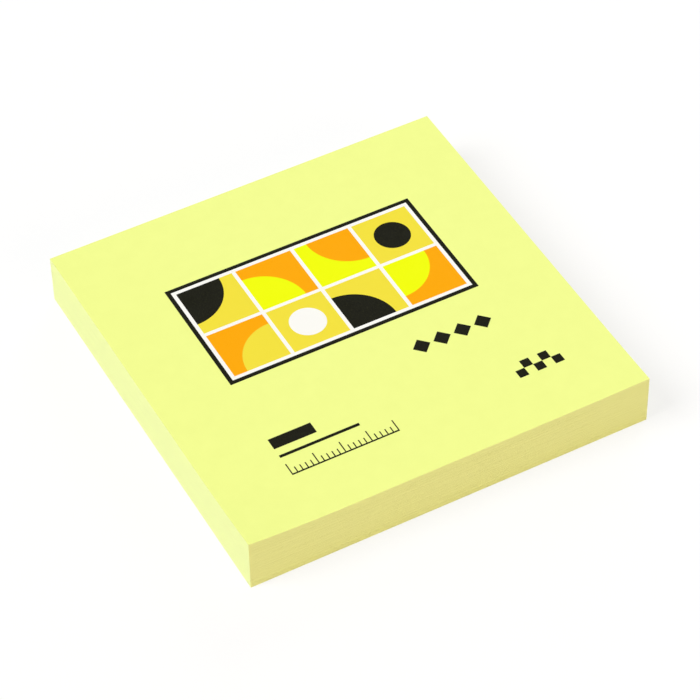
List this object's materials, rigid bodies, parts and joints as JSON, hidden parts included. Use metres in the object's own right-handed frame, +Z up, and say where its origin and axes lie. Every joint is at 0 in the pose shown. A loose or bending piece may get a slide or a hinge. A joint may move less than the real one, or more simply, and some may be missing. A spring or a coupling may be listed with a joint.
{
  "type": "sticky note pad",
  "caption": "Square pad of pale yellow self-adhesive paper notes under a printed cover sheet with a band of geometric tiles.",
  "frame": {"origin": "centre of the face that the pad rests on", "axes": "+X is the reading direction of the cover's print, +Y runs from the front edge to the bound edge, +Z is up"},
  "size_m": [0.076, 0.076, 0.01],
  "materials": {
    "note_paper": "matte",
    "cover_paper": "matte",
    "ink_amber": "matte printed",
    "ink_orange": "matte printed",
    "ink_yellow": "matte printed",
    "ink_black": "matte printed",
    "ink_white": "matte printed"
  },
  "bodies": {
    "root": {"note_sheets": "note_paper", "cover_sheet": "cover_paper", "cover_print_amber": "ink_amber", "cover_print_orange": "ink_orange", "cover_print_yellow": "ink_yellow", "cover_print_black": "ink_black", "cover_print_white": "ink_white"}
  },
  "joints": []
}
